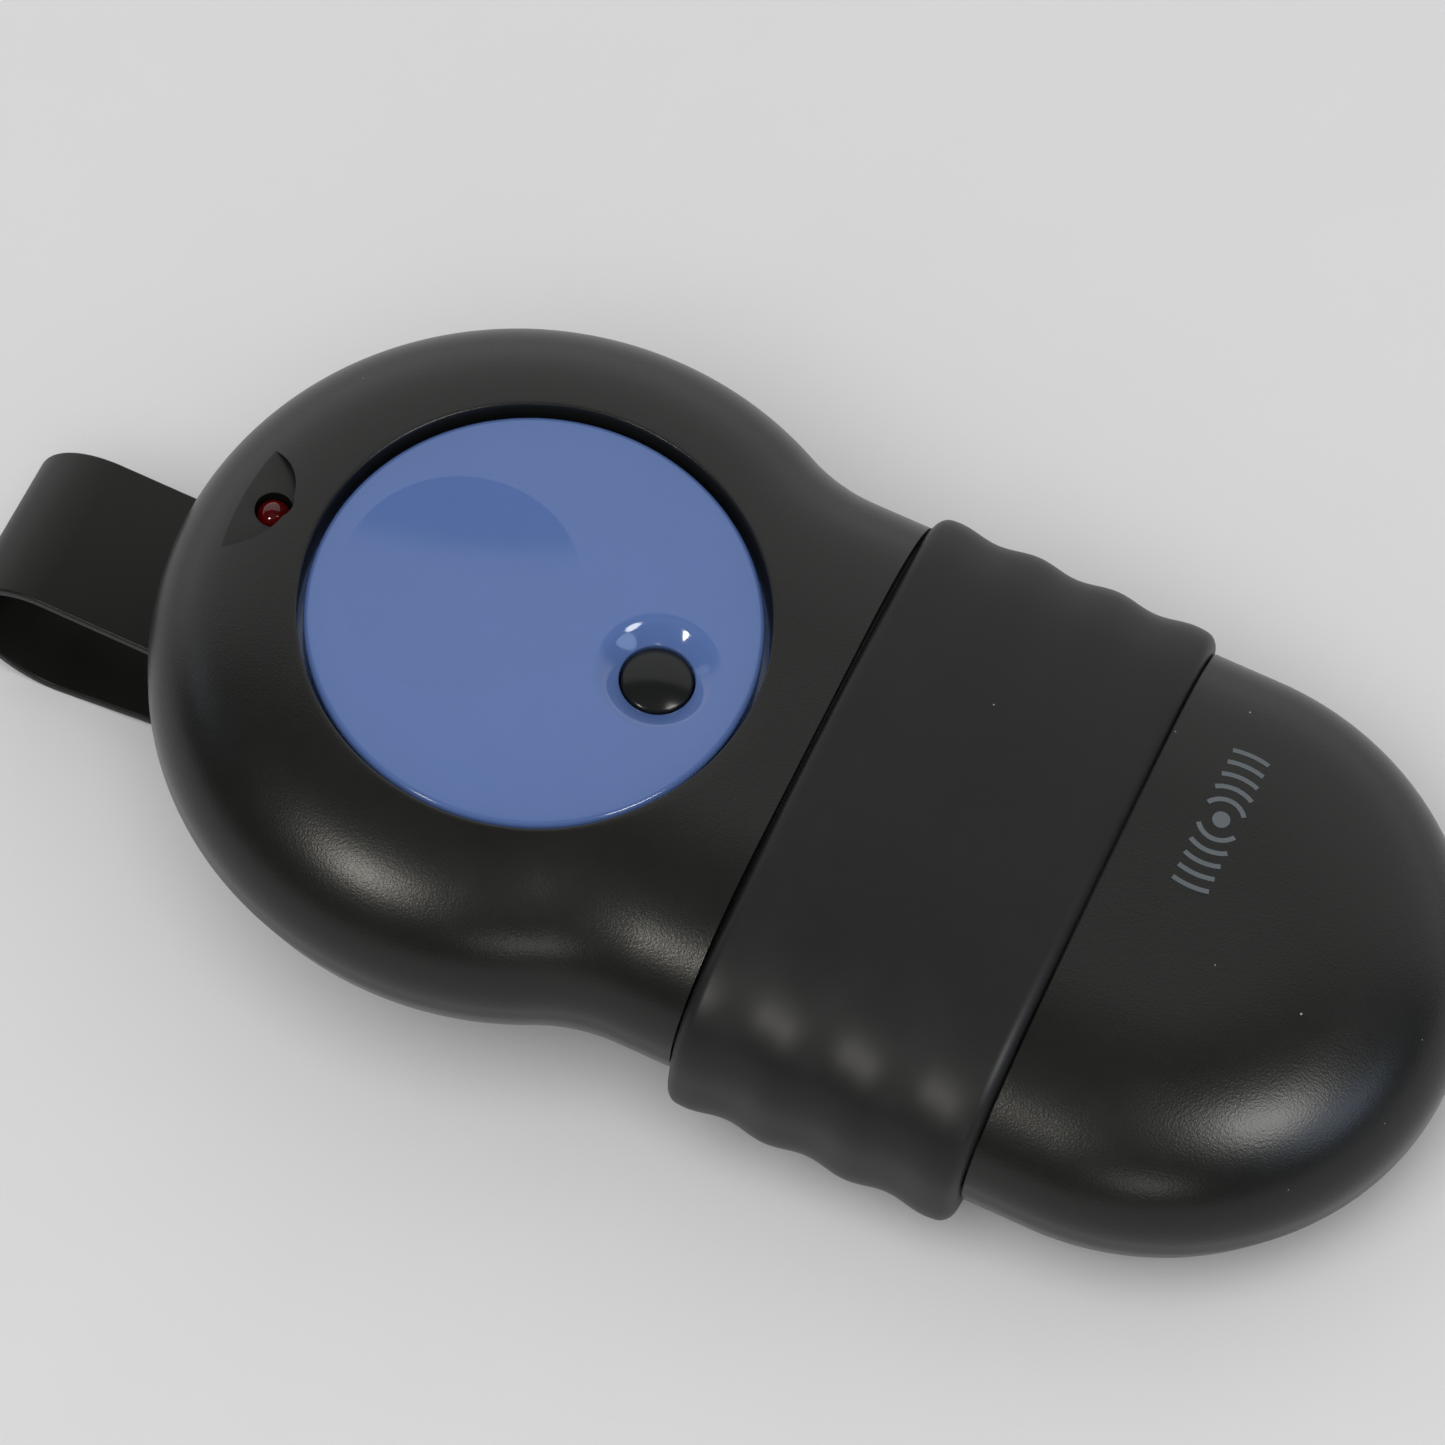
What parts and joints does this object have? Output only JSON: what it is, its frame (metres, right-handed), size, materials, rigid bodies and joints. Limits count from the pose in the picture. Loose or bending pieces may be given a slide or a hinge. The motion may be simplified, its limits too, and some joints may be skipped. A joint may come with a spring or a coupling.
{
  "type": "pager",
  "caption": "Palm-sized pager: keyhole-shaped case with a round blue call button, a small mute button, a red indicator, a ribbed rubber grip and a springy belt clip.",
  "frame": {"origin": "under the middle of the pager, at the height of the belt clip's lowest point", "axes": "+X from the belt clip's fold towards the tail, +Y across the case, +Z out of the face with the buttons"},
  "size_m": [0.135, 0.0632, 0.0389],
  "materials": {
    "case_plastic": "satin, fine spark-eroded grain",
    "grip_rubber": "soft satin",
    "call_plastic": "polished",
    "mute_plastic": "polished",
    "plunger_plastic": "moulded",
    "lens_red": "clear red, polished",
    "clip_coating": "black satin coating on spring steel",
    "rivet_metal": "black coated",
    "inner_plastic": "moulded",
    "seal_rubber": "moulded",
    "board_laminate": "green solder resist",
    "chip_black": "moulded epoxy",
    "ceramic": "ceramic",
    "shield_metal": "tinned can",
    "weight_metal": "sintered",
    "ferrite": "ferrite",
    "copper_wire": "enamelled copper",
    "cell_wrap": "plain shrink wrap",
    "spring_steel": "bright",
    "screw_metal": "zinc plated"
  },
  "bodies": {
    "case": {"top_case": "case_plastic", "bottom_case": "case_plastic", "case_seal": "seal_rubber", "grip_sleeve": "grip_rubber", "call_switch": "chip_black", "mute_switch": "chip_black", "call_spring": "spring_steel", "button_guide": "inner_plastic", "circuit_board": "board_laminate", "indicator_led": "lens_red", "led_leads": "spring_steel", "led_spacer": "inner_plastic", "microcontroller": "chip_black", "radio_module": "shield_metal", "crystal": "shield_metal", "capacitors": "ceramic", "buzzer": "chip_black", "motor_can": "shield_metal", "motor_clip": "seal_rubber", "antenna_rod": "ferrite", "antenna_coil": "copper_wire", "antenna_cradles": "inner_plastic", "battery_tray": "inner_plastic", "battery_cell": "cell_wrap", "battery_contact": "spring_steel", "battery_spring": "spring_steel", "clip_fixed_leaf": "clip_coating", "clip_rivets": "rivet_metal", "clip_backing_plate": "spring_steel", "case_screws": "screw_metal", "board_screws": "screw_metal"},
    "call_key": {"call_button": "call_plastic"},
    "mute_key": {"mute_button": "mute_plastic"},
    "call_plunger": {"call_plunger": "plunger_plastic"},
    "mute_plunger": {"mute_plunger": "plunger_plastic"},
    "door": {"battery_door": "case_plastic"},
    "clip": {"clip_spring_leaf": "clip_coating"},
    "weight": {"motor_weight": "weight_metal"}
  },
  "joints": [
    {"name": "call_press", "type": "slide", "parent": "case", "child": "call_key", "axis": [0, 0, -1], "range_m": [0, 0.0008], "stiffness_N_per_m": 3000, "springref_m": -0.0003, "deforming": ["call_spring"]},
    {"name": "mute_press", "type": "slide", "parent": "case", "child": "mute_key", "axis": [0, 0, -1], "range_m": [0, 0.0005], "stiffness_N_per_m": 3000, "springref_m": -0.0002},
    {"name": "call_switch_press", "type": "slide", "parent": "case", "child": "call_plunger", "axis": [0, 0, -1], "range_m": [0, 0.0008]},
    {"name": "mute_switch_press", "type": "slide", "parent": "case", "child": "mute_plunger", "axis": [0, 0, -1], "range_m": [0, 0.0005]},
    {"name": "door_slide", "type": "slide", "parent": "case", "child": "door", "axis": [1, 0, 0], "range_m": [0, 0.036]},
    {"name": "clip_flex", "type": "hinge", "parent": "case", "child": "clip", "pos_m": [-0.067, 0, 0.0081], "axis": [0, 1, 0], "range_deg": [0, 8], "stiffness_Nm_per_rad": 2, "springref_deg": -3.44},
    {"name": "motor_spin", "type": "hinge", "parent": "case", "child": "weight", "pos_m": [0.0142, 0.0082, 0.0279], "axis": [0, 1, 0], "continuous": true}
  ],
  "couplings": [
    {"joint": "call_switch_press", "follows": "call_press", "ratio": 1},
    {"joint": "mute_switch_press", "follows": "mute_press", "ratio": 1}
  ]
}
